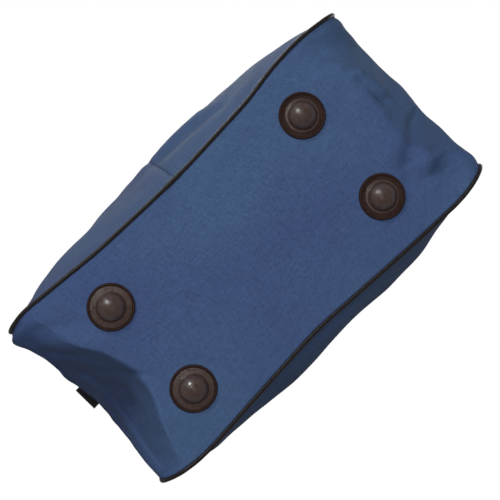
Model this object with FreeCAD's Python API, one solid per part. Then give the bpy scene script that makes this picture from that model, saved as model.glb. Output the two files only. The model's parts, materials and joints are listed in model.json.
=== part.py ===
import FreeCAD, Part
import math
import os

# A golf shoe bag standing on four feet, in millimetres. X runs along the bag, -Y is its front and Z is up.
# The origin is on the ground, under the middle of the bag. The back repeats the front, mirrored in Y.

# Bag body, along the seams where the panels meet the gusset
bag_length = 368.0
top_length = 348.0
body_height = 210.0
top_depth = 150.0
corner_depth = 177.0
wide_depth = 185.0
waist_depth = 168.0
wide_at = 138.0  # from the middle to where the bottom is widest
waist_at = 55.0  # from the middle to where the narrow waist of the bottom ends
bottom_corner_radius = 22.0
top_corner_radius = 34.0
seam_bend_radius = 110.0  # of the gentle bends in the bottom seams
fabric = 1.6  # outer cloth, foam and lining together
panel_bulge = 32.0  # how far the front and back stand out at half height
panel_fullness = 3.0  # how squarely the bulge falls off towards the ends
gusset_step = 11.0  # between the sections of the gusset in a bend
end_tuck = 6.0  # how far the ends pull in between their seams
top_crown = 5.5  # rise of the top between its seams
piping_diameter = 4.0
seam_gap = 0.05  # between cloth and the piping sewn into its edge

# Mouth: two top panels that swing up and out about the top seams
mouth_length = 232.0
mouth_gap = 0.3  # round each swinging panel
zip_gap_width = 22.0  # between the cloth edges of the two top panels
zip_notch_length = 21.0  # where the zip runs on past each end of the mouth

# Zip
tape_width = 13.4
tape_thickness = 0.8
tape_edge = 2.6  # from the middle of the zip to the edge that carries the teeth
parted_edge = 5.0  # the same edge where the slider holds the two sides apart
tooth_pitch = 3.0
tooth_neck = 0.9
tooth_head = 1.34
tooth_reach = 0.9  # past the middle of the zip
tooth_bevel = 0.4
tooth_height = 2.6
slider_length = 14.0
slider_nose_width = 12.4
slider_tail_width = 8.4
slider_wall = 1.0
slider_clearance = 1.0  # from the parked slider to the moving teeth
slider_plate = 1.2
slider_channel = 3.2
tape_slot = 1.4
wedge_width = 2.6
bail_length = 9.0
bail_width = 2.4
bail_height = 3.4
bail_thickness = 1.4
pull_length = 28.0
pull_width = 8.0
pull_taper = 0.72  # of its width, left at the tip
pull_slot = 9.0
pull_bar = 1.4
pull_play = 0.3
stop_length = 2.4

# Feet, screwed on through the base board
foot_spacing = 220.0
foot_track = 93.5
foot_diameter = 39.0
foot_rim = 3.2
foot_rim_width = 2.4
foot_floor = 1.2
foot_height = 12.8
dome_diameter = 24.5
dome_flange = 1.2
dome_tip = 4.0  # flat at the lowest point
wide_flange_diameter = 34.0  # feet at the -X end
narrow_flange_diameter = 28.4  # feet at the +X end
screw_diameter = 3.3
screw_length = 13.0
screw_hole = 4.4
screw_fit = 0.05
screw_head_diameter = 7.0
screw_head = 2.2
washer_diameter = 12.0
washer_thickness = 1.0
board_thickness = 2.5
board_length = 254.0
board_margin = 8.0  # from the long edges of the base board to the bottom seams
board_corner_radius = 20.0

# Webbing
webbing_width = 25.0
webbing = 1.8
handle_spacing = 140.0
handle_rise = 112.0
handle_bend_radius = 46.0
handle_root = 5.0  # from the top seam up to where the handle bends
handle_clearance = 0.9
anchor_length = 54.0
tab_reach = 20.0  # of the end tabs past the top of the bag's ends
tab_layer = 1.3
tab_step = 4.0
tab_root = 18.0  # degrees round the top corner to where each tab begins, clear of the zip pull
tab_droop = 30.0  # degrees below level

V = FreeCAD.Vector
Y_AXIS = V(0, 1, 0)
ACROSS = range(-2, 3)

base = foot_height
top = base + body_height
half_bottom = bag_length / 2
half_top = top_length / 2
top_half_depth = top_depth / 2
piping_radius = piping_diameter / 2
edge_inset = piping_radius + seam_gap
half_mouth = mouth_length / 2
zip_end = half_mouth + zip_notch_length
chain_depth = fabric + seam_gap + tape_thickness / 2  # from the crown of the top to the middle of the zip
chain_height = top + top_crown - chain_depth
slider_rest = half_mouth + mouth_gap + slider_length / 2 + slider_clearance


def export(name, *solids):
    shape = solids[0] if len(solids) == 1 else Part.makeCompound(list(solids))
    shape.exportStep(f"parts/{name}.step")


def mirrored(shape):
    return shape.mirror(V(0, 0, 0), Y_AXIS)


def rounded_edges(corners):
    """Edges of a closed loop: straight runs and tangent arcs. A corner is (point, radius)."""
    arcs = []
    for i, (point, radius) in enumerate(corners):
        back = (corners[i - 1][0] - point).normalize()
        ahead = (corners[(i + 1) % len(corners)][0] - point).normalize()
        half = back.getAngle(ahead) / 2
        reach = radius / math.tan(half)
        centre = point + (back + ahead).normalize() * (radius / math.sin(half))
        middle = centre + (point - centre).normalize() * radius
        arcs.append((point + back * reach, middle, point + ahead * reach))
    edges = []
    for i, (start, middle, end) in enumerate(arcs):
        edges.append(Part.LineSegment(arcs[i - 1][2], start).toShape())
        edges.append(Part.Arc(start, middle, end).toShape())
    return edges


def prism(points, height):
    """A solid with straight sides standing on a polygon."""
    return Part.Face(Part.makePolygon(points + points[:1])).extrude(height)


def cylinder(radius, height, foot, axis=V(0, 0, 1)):
    return Part.makeCylinder(radius, height, foot, axis)


def spline(points, at):
    curve = Part.BSplineCurve()
    curve.interpolate(Points=points, Parameters=at)
    return curve


def distances(points):
    """How far along the points each one is."""
    out = [0.0]
    for one, other in zip(points, points[1:]):
        out.append(out[-1] + one.distanceToPoint(other))
    return out


def smooth_surface(grid):
    """The surface through a grid of points, splined along its columns and then across them."""
    along = distances([row[len(row) // 2] for row in grid])
    across = list(range(len(grid[0])))
    columns = [spline(list(column), along) for column in zip(*grid)]
    rows = [spline(list(poles), across) for poles in zip(*(c.getPoles() for c in columns))]
    u, v = columns[0], rows[0]
    surface = Part.BSplineSurface()
    surface.buildFromPolesMultsKnots(
        [row.getPoles() for row in rows],
        u.getMultiplicities(),
        v.getMultiplicities(),
        u.getKnots(),
        v.getKnots(),
        False,
        False,
        u.Degree,
        v.Degree,
    )
    return surface


def wall(stretches):
    """A solid wall: stretches end to end, each the space between two grids of points."""
    faces = []
    for number, grids in enumerate(stretches):
        one, other = [smooth_surface(grid) for grid in grids]
        u0, u1, v0, v1 = one.bounds()
        s0, s1, t0, t1 = other.bounds()
        borders = [(one.vIso(v0), other.vIso(t0)), (one.vIso(v1), other.vIso(t1))]
        if number == 0:
            borders.append((one.uIso(u0), other.uIso(s0)))
        if number == len(stretches) - 1:
            borders.append((one.uIso(u1), other.uIso(s1)))
        faces += [one.toShape(), other.toShape()]
        faces += [Part.makeRuledSurface(a.toShape(), b.toShape()) for a, b in borders]
    shell = Part.makeShell(faces)
    shell.sewShape()
    solid = Part.makeSolid(shell)
    if solid.Volume < 0:
        solid.reverse()
    return solid


# The seams


def seam_corners(inset=0.0):
    """Corners of the front seam with their radii, from the top left down and round to the top right."""
    half_length = half_bottom - inset
    low, high = base + inset, top - inset
    right = [
        (V(waist_at, -waist_depth / 2, low), seam_bend_radius),
        (V(wide_at, -wide_depth / 2, low), seam_bend_radius),
        (V(half_length, -corner_depth / 2, low), bottom_corner_radius - inset),
        (V(half_top - inset, -top_half_depth, high), top_corner_radius - inset),
    ]
    left = [(V(-p.x, p.y, p.z), radius) for p, radius in reversed(right)]
    return left + right


def bottom_half_depth(x):
    """Half the depth of the bottom between its seams, at a distance x from the middle."""
    stations = [
        (waist_at, waist_depth / 2),
        (wide_at, wide_depth / 2),
        (half_bottom, corner_depth / 2),
    ]
    x = abs(x)
    if x <= stations[0][0]:
        return stations[0][1]
    for (x0, y0), (x1, y1) in zip(stations, stations[1:]):
        if x <= x1:
            return y0 + (y1 - y0) * (x - x0) / (x1 - x0)
    return stations[-1][1]


def panel_y(x, z):
    """The outer face of the front panel."""
    level = (z - base) / body_height
    seam = bottom_half_depth(x) * (1 - level) + top_half_depth * level
    along = 1 - min(1.0, abs(x) / (half_bottom + piping_diameter)) ** panel_fullness
    return -seam - panel_bulge * along * (1 - (2 * level - 1) ** 2)


def crown(y):
    """Height of the outer face of the top."""
    return top + top_crown * (1 - (y / top_half_depth) ** 2)


# Cloth


def seam_stretches():
    """Places along each run and bend of the front seam, from one end of the mouth round to the other.

    A place is (point, outward normal in XZ).
    """
    edges = rounded_edges(seam_corners())
    mouth = half_mouth + mouth_gap
    left, right = V(-mouth, -top_half_depth, top), V(mouth, -top_half_depth, top)
    first = Part.LineSegment(left, edges[1].valueAt(edges[1].FirstParameter))
    last = Part.LineSegment(edges[-1].valueAt(edges[-1].LastParameter), right)
    stretches = []
    for edge in [first.toShape(), *edges[1:], last.toShape()]:
        straight = edge.Curve.TypeId == "Part::GeomLine"
        steps = 1 if straight else max(2, round(edge.Length / gusset_step))
        stretch = []
        for step in range(steps + 1):
            at = edge.FirstParameter + (edge.LastParameter - edge.FirstParameter) * step / steps
            tangent = edge.tangentAt(at)
            stretch.append((edge.valueAt(at), V(tangent.z, 0, -tangent.x).normalize()))
        stretches.append(stretch)
    return stretches


def gusset_grid(stretch, depth):
    """Points of the gusset, a depth below its outer face: it tucks in at the ends and rises at the top."""
    grid = []
    for point, normal in stretch:
        swell = top_crown * max(normal.z, 0) ** 2 - end_tuck * normal.x**2
        half = -point.y - edge_inset
        row = []
        for step in ACROSS:
            share = step / ACROSS[-1]
            out = swell * (1 - share**2) - depth
            row.append(V(point.x + normal.x * out, share * half, point.z + normal.z * out))
        grid.append(row)
    return grid


def foot_places():
    return [(x * foot_spacing / 2, y * foot_track / 2) for x in (-1, 1) for y in (-1, 1)]


def gusset():
    """The bottom and both ends in one length, with screw holes and a notch for each end of the zip."""
    solid = wall([[gusset_grid(stretch, depth) for depth in (0.0, fabric)] for stretch in seam_stretches()])
    for x, y in foot_places():
        solid = solid.cut(cylinder(screw_hole / 2, 3 * fabric, V(x, y, base - fabric)))
    for side in (-1, 1):
        length = zip_notch_length + 2 * fabric
        middle = side * (zip_end - length / 2)
        notch = Part.makeBox(
            length, zip_gap_width, 8 * fabric, V(middle - length / 2, -zip_gap_width / 2, top - 2 * fabric)
        )
        solid = solid.cut(notch)
    return solid


def panel(x0, x1):
    """A stretch of the front panel, trimmed to the seam."""
    columns, rows = 14, 10
    half_length, margin = half_bottom + piping_diameter, piping_diameter

    def grid(depth):
        return [
            [
                V(x, panel_y(x, z) + depth, z)
                for z in (base - margin + (body_height + 2 * margin) * j / rows for j in range(rows + 1))
            ]
            for x in (-half_length + 2 * half_length * i / columns for i in range(columns + 1))
        ]

    inset = edge_inset + seam_gap
    flat = [(V(p.x, 0, p.z), radius) for p, radius in seam_corners(inset)]
    corners = [c for c in flat if c[1] != seam_bend_radius]
    outline = Part.Face(Part.Wire(rounded_edges(corners)))
    depth = wide_depth / 2 + panel_bulge + fabric
    shape = wall([(grid(0.0), grid(fabric))]).common(outline.extrude(V(0, -depth, 0)))
    band = Part.makeBox(x1 - x0, depth, 2 * body_height, V(x0, -depth, 0))
    return shape.common(band).Solids[0]


def piping():
    path = Part.Wire(rounded_edges(seam_corners()))
    start = path.Edges[0].valueAt(path.Edges[0].FirstParameter)
    ring = Part.Wire(Part.makeCircle(piping_radius, start, path.Edges[0].tangentAt(0)))
    return path.makePipeShell([ring], True, False)


def top_strip(y0, y1, depth, thickness, x0, x1):
    """A strip that follows the crown of the top, from y0 to y1, with its upper face a depth below it."""
    ys = (y0, (y0 + y1) / 2, y1)
    upper = [V(x0, y, crown(y) - depth) for y in ys]
    lower = [p - V(0, 0, thickness) for p in upper]
    edges = [
        Part.Arc(*upper).toShape(),
        Part.LineSegment(upper[2], lower[2]).toShape(),
        Part.Arc(*reversed(lower)).toShape(),
        Part.LineSegment(lower[0], upper[0]).toShape(),
    ]
    return Part.Face(Part.Wire(edges)).extrude(V(x1 - x0, 0, 0))


def top_panel():
    """The front half of the top, with a round edge where it bends beside the piping."""
    root = -(top_half_depth - piping_radius - mouth_gap - fabric / 2)
    strip = top_strip(root, -zip_gap_width / 2, 0.0, fabric, -half_mouth, half_mouth)
    pivot = V(-half_mouth, root, crown(root) - fabric / 2)
    return strip.fuse(cylinder(fabric / 2, mouth_length, pivot, V(1, 0, 0))).removeSplitter()


def base_board():
    """The stiffener that carries the feet. It stops short of the ends, which hang slack."""
    edge = board_margin + piping_radius
    right = [
        (waist_at, waist_depth / 2 - edge, seam_bend_radius),
        (board_length / 2, corner_depth / 2 - edge, board_corner_radius),
    ]
    height = base + fabric + seam_gap
    back = [(V(x, y, height), radius) for x, y, radius in right]
    front = [(V(p.x, -p.y, p.z), radius) for p, radius in reversed(back)]
    half = back + front
    left = [(V(-p.x, p.y, p.z), radius) for p, radius in reversed(half)]
    loop = half + left
    board = Part.Face(Part.Wire(rounded_edges(loop))).extrude(V(0, 0, board_thickness))
    for x, y in foot_places():
        board = board.cut(cylinder(screw_hole / 2, 3 * board_thickness, V(x, y, height - board_thickness)))
    return board


# Zip


def tooth(x, side):
    """One moulded tooth, from its tape edge across the middle. The side is -1 at the front."""
    neck, head, reach = tooth_neck / 2, tooth_head / 2, tooth_reach
    outline = [
        (-neck, -tape_edge),
        (neck, -tape_edge),
        (head, reach - tooth_bevel),
        (neck, reach),
        (-neck, reach),
        (-head, reach - tooth_bevel),
    ]
    points = [V(x + px, -side * py, chain_height - tooth_height / 2) for px, py in outline]
    return prism(points, V(0, 0, tooth_height))


def teeth(side):
    """The row on one moving tape. The two rows mesh half a pitch apart."""
    room = half_mouth - tooth_pitch
    count = math.floor(2 * room / tooth_pitch)
    start = -count * tooth_pitch / 2 + side * tooth_pitch / 4
    return [tooth(start + i * tooth_pitch, side) for i in range(count + 1)]


def end_teeth():
    """The few teeth on the fixed ends: parted where the slider rests, meshed by the bottom stop."""
    part_by = parted_edge - tape_edge
    out = []
    for side in (-1, 1):
        for i in range(2):
            at = -slider_rest - slider_length / 2 + tooth_pitch * (0.5 + i)
            out.append(tooth(at, side).translated(V(0, side * part_by, 0)))
            out.append(tooth(slider_rest + tooth_pitch * (0.75 + i) + side * tooth_pitch / 4, side))
    return out


def tape(edge, x0, x1):
    depth = fabric + seam_gap
    return top_strip(-tape_edge - tape_width, -edge, depth, tape_thickness, x0, x1)


def end_tapes():
    start = half_mouth + mouth_gap
    parted = tape(parted_edge, -zip_end, -start)
    meshed = tape(tape_edge, start, zip_end)
    return [parted, mirrored(parted), meshed, mirrored(meshed)]


def stops():
    """Two top stops beyond the slider's nose and one bottom stop for its tail."""
    height = tooth_height + 2 * slider_wall
    low = chain_height - height / 2
    nose = slider_rest + slider_length / 2 + pull_play
    width = tape_edge
    clamps = []
    for side in (-1, 1):
        block = Part.makeBox(stop_length, width, height, V(-nose - stop_length, 0, low))
        inner = parted_edge - width / 2
        block.translate(V(0, inner if side > 0 else -inner - width, 0))
        clamps.append(block.cut(Part.makeCompound(end_tapes())))
    block = Part.makeBox(stop_length, 3 * width, height, V(nose, -1.5 * width, low))
    return clamps, block.cut(Part.makeCompound(end_tapes()))


def slider_outline(nose, tail):
    half, neck = slider_length / 2, slider_length / 6
    front = [(-half, nose / 2), (-neck, nose / 2), (neck, tail / 2), (half, tail / 2)]
    return front + [(x, -y) for x, y in reversed(front)]


def at_slider(points, height):
    return [V(x - slider_rest, y, chain_height + height) for x, y in points]


def slider():
    """A body of two plates on a wedge, side walls that hold the teeth in, and a bail for the pull."""
    reach = slider_channel / 2 + slider_plate
    outside = slider_outline(slider_nose_width, slider_tail_width)
    inside = slider_outline(slider_nose_width - 2 * slider_wall, slider_tail_width - 2 * slider_wall)
    past_end = slider_length / 4
    channel = [(x + math.copysign(past_end, x) if abs(x) == slider_length / 2 else x, y) for x, y in inside]
    body = prism(at_slider(outside, -reach), V(0, 0, 2 * reach))
    body = body.cut(prism(at_slider(channel, -slider_channel / 2), V(0, 0, slider_channel)))
    slot = Part.makeBox(
        2 * slider_length,
        2 * slider_nose_width,
        tape_slot,
        V(-slider_rest - slider_length, -slider_nose_width, chain_height - tape_slot / 2),
    )
    body = body.cut(slot)
    half = wedge_width / 2
    nose = -slider_length / 2
    wedge = [(nose, -half / 2), (nose / 2, -half), (0, 0), (nose / 2, half), (nose, half / 2)]
    body = body.fuse(prism(at_slider(wedge, -slider_channel / 2), V(0, 0, slider_channel)))
    return body.fuse(bail(reach)).removeSplitter()


def bail(foot):
    """The arch over the slider that the pull hangs on, cut from one bar."""
    half, inner = bail_length / 2, bail_length / 2 - bail_thickness
    rise, window = bail_height, bail_height - bail_thickness
    slope = bail_thickness
    profile = [
        (-half, 0),
        (-half + slope / 2, rise - slope / 2),
        (-half + slope, rise),
        (half - slope, rise),
        (half - slope / 2, rise - slope / 2),
        (half, 0),
        (inner, 0),
        (inner - slope / 2, window),
        (-inner + slope / 2, window),
        (-inner, 0),
    ]
    points = [V(x - slider_rest, -bail_width / 2, chain_height + foot + z) for x, z in profile]
    return prism(points, V(0, bail_width, 0))


def pull():
    """A tab with a window, whose end bar turns under the bail."""
    axis = pull_axis()
    half, bar = pull_width / 2, pull_bar / 2
    window = bail_length / 2 + bail_height
    eye = bail_width / 2 + pull_play
    tip = pull_length
    taper = half * pull_taper
    outline = [
        (0, -half),
        (window, -half),
        (tip, -taper),
        (tip + taper, 0),
        (tip, taper),
        (window, half),
        (0, half),
    ]
    plate = prism([axis + V(x, y, -bar) for x, y in outline], V(0, 0, pull_bar))
    hole = Part.makeBox(window - bar, 2 * eye, 4 * pull_bar, axis + V(bar, -eye, -2 * pull_bar))
    slot = Part.makeBox(pull_slot, half, 4 * pull_bar, axis + V(tip - pull_slot, -half / 2, -2 * pull_bar))
    shape = plate.cut(hole).cut(slot)
    arm = half - eye
    for side in (-1, 1):
        y = eye if side > 0 else -half
        pin = cylinder(bar, arm, axis + V(0, y, 0), Y_AXIS)
        shape = shape.fuse(pin)
    shape = shape.fuse(cylinder(bar, 2 * half, axis - V(0, half, 0), Y_AXIS))
    return shape.removeSplitter()


def pull_axis():
    height = slider_channel / 2 + slider_plate + pull_bar / 2 + pull_play
    return V(-slider_rest, 0, chain_height + height)


# Feet


def revolved(profile, x, y):
    """A solid turned about the foot's axis. The profile is (radius, depth below the cloth)."""
    points = [V(x + radius, y, base - depth) for radius, depth in profile]
    face = Part.Face(Part.makePolygon(points + points[:1]))
    return face.revolve(V(x, y, 0), V(0, 0, 1), 360)


def foot_base(x, y):
    """A shallow dish with a bevelled rim, held between the cloth and the dome."""
    rim = foot_diameter / 2
    bevel = foot_rim_width / 3
    profile = [
        (screw_hole / 2, 0),
        (rim, 0),
        (rim, foot_rim - 2 * bevel),
        (rim - bevel, foot_rim),
        (rim - 2 * bevel, foot_rim),
        (rim - 3 * bevel, foot_floor),
        (screw_hole / 2, foot_floor),
    ]
    return revolved(profile, x, y)


def foot_dome(x, y, flange):
    """The dome that touches the ground, on a flange, bored from above for its screw."""
    face = base - foot_floor - dome_flange
    radius, tip = dome_diameter / 2, dome_tip / 2
    below = (radius**2 - tip**2 - face**2) / (2 * face)
    centre = V(x, y, face + below)
    ball = Part.makeSphere(math.hypot(radius, below), centre)
    dome = ball.common(Part.makeBox(2 * radius, 2 * radius, face, V(x - radius, y - radius, 0)))
    dome = dome.fuse(cylinder(flange / 2, dome_flange, V(x, y, face)))
    bore_end = screw_tip() - screw_diameter / 4
    bore = cylinder(screw_diameter / 2 + screw_fit, base - bore_end, V(x, y, bore_end))
    return dome.cut(bore).removeSplitter()


def screw_seat():
    """The height of the washer's lower face, on the base board."""
    return base + fabric + seam_gap + board_thickness


def screw_tip():
    return screw_seat() + washer_thickness - screw_length


def screw_and_washer(x, y):
    seat = screw_seat()
    washer = cylinder(washer_diameter / 2, washer_thickness, V(x, y, seat))
    washer = washer.cut(cylinder(screw_hole / 2, 3 * washer_thickness, V(x, y, seat - washer_thickness)))
    under_head = seat + washer_thickness
    shank = cylinder(screw_diameter / 2, screw_length, V(x, y, under_head - screw_length))
    head = cylinder(screw_head_diameter / 2, screw_head, V(x, y, under_head))
    slot_width = screw_diameter / 3
    slot_corner = V(x - screw_head_diameter / 2, y - slot_width / 2, under_head + screw_head / 2)
    slot = Part.makeBox(screw_head_diameter, slot_width, screw_head, slot_corner)
    return shank.fuse(head).cut(slot), washer


# Webbing


def anchor_face(x, z):
    """Where the webbing lies on the front panel, and stands clear of the top piping."""
    clear = top_half_depth + piping_radius + seam_gap + mouth_gap
    return min(panel_y(x, min(z, top)) - seam_gap, -clear)


def handle_pivot():
    """A point on the line about which the front handle turns: the outer face of its anchors."""
    clear = top_half_depth + piping_radius + seam_gap + mouth_gap
    return V(0, -clear - webbing, top + handle_root)


def handle_anchors():
    """Two lengths of webbing sewn flat to the front panel."""
    upper = handle_pivot().z - webbing / 2 - handle_clearance
    rows = 10
    heights = [upper - anchor_length * i / rows for i in range(rows + 1)]
    out = []
    for side in (-1, 1):
        middle = side * handle_spacing / 2
        xs = [middle + webbing_width / 2 * i for i in (-1, 0, 1)]
        faces = [[V(x, anchor_face(x, z), z) for z in heights] for x in xs]
        outer = [[p - Y_AXIS * webbing for p in row] for row in faces]
        out.append(wall([(faces, outer)]))
    return out


def handle():
    """The front handle, standing up: webbing that turns a quarter over each leg and bends across the top."""
    pivot = handle_pivot()
    leg = handle_rise - handle_bend_radius
    run = handle_spacing / 2 - handle_bend_radius
    steps_on_leg, steps_on_bend = 8, 6
    path = []
    for i in range(steps_on_leg):
        share = i / steps_on_leg
        path.append((V(-handle_spacing / 2, 0, leg * share), V(0, 0, 1), share))
    for i in range(steps_on_bend + 1):
        turn = math.pi / 2 * i / steps_on_bend
        offset = V(-math.cos(turn), 0, math.sin(turn)) * handle_bend_radius
        path.append((V(-run, 0, leg) + offset, V(math.sin(turn), 0, math.cos(turn)), 1.0))
    for point, tangent, share in list(reversed(path)):
        path.append((V(-point.x, 0, point.z), V(tangent.x, 0, -tangent.z), share))

    def grid(depth):
        out = []
        for point, tangent, share in path:
            turn = math.pi / 2 * share**2 * (3 - 2 * share)
            across = V(tangent.z, 0, -tangent.x) * math.cos(turn) + Y_AXIS * math.sin(turn)
            face = tangent.cross(across) * depth
            out.append([pivot + point + face + across * (webbing_width / 2 * i) for i in (-1, 0, 1)])
        return out

    strap = wall([(grid(webbing / 2), grid(-webbing / 2))])
    for side in (-1, 1):
        foot = pivot + V(side * handle_spacing / 2 - webbing_width / 2, 0, 0)
        strap = strap.fuse(cylinder(webbing / 2, webbing_width, foot, V(1, 0, 0)))
    return strap


def end_tab(side):
    """A folded tab at one end of the zip: it follows the corner of the bag, then stands off it."""
    corner = top_corner_radius + top_crown + seam_gap
    root, droop = math.radians(tab_root), math.radians(tab_droop)
    lean = math.atan2(half_bottom - half_top, body_height)
    turn = (math.pi / 2 - lean) / 2
    centre = V(half_top - top_corner_radius * math.tan(turn), 0, top - top_corner_radius)
    end = half_top + tab_reach

    def on_arc(radius, angle):
        return centre + V(math.sin(angle), 0, math.cos(angle)) * radius

    def line(radius, finish):
        start = on_arc(radius, droop)
        return start, start + V(math.cos(droop), 0, -math.sin(droop)) * ((finish - start.x) / math.cos(droop))

    low, mid, high = corner, corner + tab_layer, corner + 2 * tab_layer
    low_start, low_end = line(low, end)
    mid_start, mid_end = line(mid, end)
    step_start, step_low = line(mid, end - tab_step)
    high_start, high_end = line(high, end - tab_step)
    edges = [
        Part.Arc(on_arc(low, root), on_arc(low, (root + droop) / 2), low_start).toShape(),
        Part.LineSegment(low_start, low_end).toShape(),
        Part.LineSegment(low_end, mid_end).toShape(),
        Part.LineSegment(mid_end, step_low).toShape(),
        Part.LineSegment(step_low, high_end).toShape(),
        Part.LineSegment(high_end, high_start).toShape(),
        Part.Arc(high_start, on_arc(high, (root + droop) / 2), on_arc(high, root)).toShape(),
        Part.LineSegment(on_arc(high, root), on_arc(low, root)).toShape(),
    ]
    tab = Part.Face(Part.Wire(edges)).extrude(V(0, webbing_width, 0))
    tab.translate(V(0, -webbing_width / 2, 0))
    return tab if side > 0 else tab.mirror(V(0, 0, 0), V(1, 0, 0))


def make_body():
    export("gusset", gusset())
    export("front_panel_left", panel(-half_bottom, -seam_gap / 2))
    export("front_panel_right", panel(seam_gap / 2, half_bottom))
    export("back_panel", mirrored(panel(-half_bottom, half_bottom)))
    front_piping = piping()
    export("front_piping", front_piping)
    export("back_piping", mirrored(front_piping))
    export("base_board", base_board())


def make_mouth():
    front = top_panel()
    front_tape = tape(tape_edge, -half_mouth, half_mouth)
    export("front_top_panel", front)
    export("back_top_panel", mirrored(front))
    export("front_zip_tape", front_tape)
    export("back_zip_tape", mirrored(front_tape))
    export("front_zip_teeth", *teeth(-1))
    export("back_zip_teeth", *teeth(1))
    export("zip_tape_ends", *end_tapes())
    export("zip_end_teeth", *end_teeth())
    clamps, bottom_stop = stops()
    export("zip_top_stops", *clamps)
    export("zip_bottom_stop", bottom_stop)
    export("zip_slider", slider())
    export("zip_pull", pull())


def make_feet():
    screws, washers = [], []
    names = ["left_front", "left_back", "right_front", "right_back"]
    for name, (x, y) in zip(names, foot_places()):
        flange = wide_flange_diameter if x < 0 else narrow_flange_diameter
        export(f"foot_base_{name}", foot_base(x, y))
        export(f"foot_dome_{name}", foot_dome(x, y, flange))
        screw, washer = screw_and_washer(x, y)
        screws.append(screw)
        washers.append(washer)
    export("foot_screws", *screws)
    export("foot_washers", *washers)


def make_webbing():
    anchors = handle_anchors()
    front = handle()
    export("front_handle_anchors", *anchors)
    export("back_handle_anchors", *[mirrored(a) for a in anchors])
    export("front_handle", front)
    export("back_handle", mirrored(front))
    export("left_end_tab", end_tab(-1))
    export("right_end_tab", end_tab(1))


os.makedirs("parts", exist_ok=True)
make_body()
make_mouth()
make_feet()
make_webbing()
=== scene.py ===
import json
import math

import bmesh
import bpy
import numpy as np
from mathutils import Matrix, Vector, noise
from mathutils.bvhtree import BVHTree

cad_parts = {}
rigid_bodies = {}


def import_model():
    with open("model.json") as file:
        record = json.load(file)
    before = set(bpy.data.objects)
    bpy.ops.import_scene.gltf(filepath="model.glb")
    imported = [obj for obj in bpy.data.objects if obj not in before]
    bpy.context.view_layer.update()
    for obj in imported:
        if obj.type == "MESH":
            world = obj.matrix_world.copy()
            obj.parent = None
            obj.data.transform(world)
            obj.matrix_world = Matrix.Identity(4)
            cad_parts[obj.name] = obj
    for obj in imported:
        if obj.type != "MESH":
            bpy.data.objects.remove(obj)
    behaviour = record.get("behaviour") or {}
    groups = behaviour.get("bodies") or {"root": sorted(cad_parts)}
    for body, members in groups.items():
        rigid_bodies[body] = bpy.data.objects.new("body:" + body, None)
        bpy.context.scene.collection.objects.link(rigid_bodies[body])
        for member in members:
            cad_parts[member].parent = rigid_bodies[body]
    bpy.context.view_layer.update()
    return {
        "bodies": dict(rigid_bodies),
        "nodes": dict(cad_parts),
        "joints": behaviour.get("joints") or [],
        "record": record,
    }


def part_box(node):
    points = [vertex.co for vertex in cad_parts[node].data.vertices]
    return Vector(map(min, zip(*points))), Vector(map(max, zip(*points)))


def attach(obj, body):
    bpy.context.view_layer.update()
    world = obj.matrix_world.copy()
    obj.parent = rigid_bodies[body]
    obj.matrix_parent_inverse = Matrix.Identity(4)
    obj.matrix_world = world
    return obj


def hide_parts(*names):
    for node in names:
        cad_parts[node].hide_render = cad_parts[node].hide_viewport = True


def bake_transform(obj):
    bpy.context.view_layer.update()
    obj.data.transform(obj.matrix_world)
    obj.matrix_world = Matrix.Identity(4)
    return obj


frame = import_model()
nodes = frame["nodes"]

# Sizes of the bag in metres, taken from the solids where they show them
PIPING_RADIUS = 0.002
piping_low, piping_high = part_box("front_piping")
BASE = piping_low.z + PIPING_RADIUS
TOP = piping_high.z - PIPING_RADIUS
HALF_BOTTOM = piping_high.x - PIPING_RADIUS
HALF_TOP = 0.174
TOP_HALF_DEPTH = 0.075
BOTTOM_CORNER = 0.022
TOP_CORNER = 0.034
CROWN = 0.0055
CLOTH = 0.0016
CLOTH_EDGE = 0.0012  # from the middle of the piping to the cloth that grips it
MOUTH_PLAY = 0.0003
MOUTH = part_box("front_top_panel")[1].x + MOUTH_PLAY
HALF_ZIP_GAP = 0.011
ZIP_NOTCH_END = 0.137
PANEL_HEIGHT = 0.225  # of a panel's cloth, laid flat
WEBBING = 0.0018
WEBBING_WIDTH = 0.025
HANDLE_PLAY = 0.00035  # between the piping and the webbing beside it
HANDLE_BEND, HANDLE_BOW = 0.046, 0.0025
HEM = 0.0028
TAPE, TAPE_OUTER, TAPE_WIDTH = 0.0008, 0.016, 0.0134
TAB_LAYER, TAB_STEP, TAB_SAG = 0.0013, 0.004, 0.0012
TONGUE, TONGUE_LIFT = 0.0008, 0.00045
ANCHOR_STEPS, ANCHOR_PLAY = 40, 0.0003
STITCH_LIFT, HEM_LIFT = 0.0001, 0.0004  # of the threads' middles over the cloth
RIB = 0.0012
TAB_TAPER = math.atan2(0.010, 0.210)  # how far the ends lean in
ARC_STEP = 0.001
PANEL_STEPS = 140  # across a panel
THREAD_SIDES = 6
TUBE_SIDES = 14
TOOTH_EDGE, STOP_EDGE, SLIDER_EDGE, PULL_EDGE, TAPE_EDGE = 0.00018, 0.0004, 0.00045, 0.0003, 0.0001
FOOT_EDGE = 0.0003
HEM_STITCH, BOX_STITCH = (0.0024, 0.0009, 0.0005), (0.0021, 0.0007, 0.00055)  # length, gap, thickness
BOX_HALF, BOX_TOP, BOX_END = 0.0095, 0.93, 0.55  # across in metres, and shares of the way down
COARSE_DENTS, FINE_DENTS, TOP_DENTS = (0.045, 0.0026, 3), (0.018, 0.0014, 8), (0.035, 0.0012, 31)

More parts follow.
